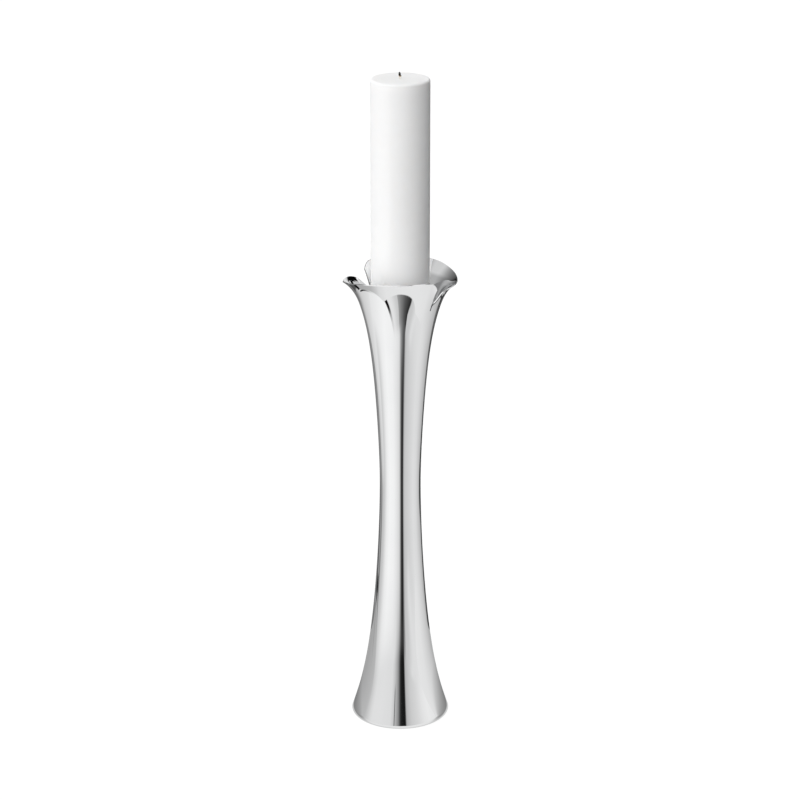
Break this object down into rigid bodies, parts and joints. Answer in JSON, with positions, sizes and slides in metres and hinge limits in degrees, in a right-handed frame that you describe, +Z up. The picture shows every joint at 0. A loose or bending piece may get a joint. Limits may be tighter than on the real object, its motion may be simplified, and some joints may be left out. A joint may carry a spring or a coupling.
{
  "type": "pillar candle holder",
  "caption": "Tall polished trumpet-shaped candle holder with a petal-cut flared mouth, weighted foot and lift-off pillar candle.",
  "frame": {"origin": "centre of the foot, on the plane the felt pad rests on", "axes": "+Z up along the body's axis; -Y towards the side with a slit to its right"},
  "size_m": [0.1174, 0.1126, 0.7019],
  "materials": {
    "polished_shell": "mirror polished",
    "seat_steel": "satin",
    "spike_steel": "turned",
    "fastener_steel": "zinc plated",
    "rod_steel": "drawn",
    "ballast_iron": "as cast",
    "plate_steel": "pressed",
    "felt": "pressed felt",
    "wax": "smooth wax",
    "wick": "charred braid"
  },
  "bodies": {
    "holder": {"body_shell": "polished_shell", "seat_plate": "seat_steel", "candle_spike": "spike_steel", "spike_washer": "fastener_steel", "rod_coupler": "fastener_steel", "tie_rod": "rod_steel", "ballast_weight": "ballast_iron", "base_plate": "plate_steel", "foot_washer": "fastener_steel", "foot_nut": "fastener_steel", "felt_pad": "felt"},
    "candle": {"candle_wax": "wax", "candle_wick": "wick"}
  },
  "joints": [
    {"name": "candle_lift", "type": "slide", "parent": "holder", "child": "candle", "axis": [0, 0, 1], "range_m": [0, 0.1]}
  ]
}
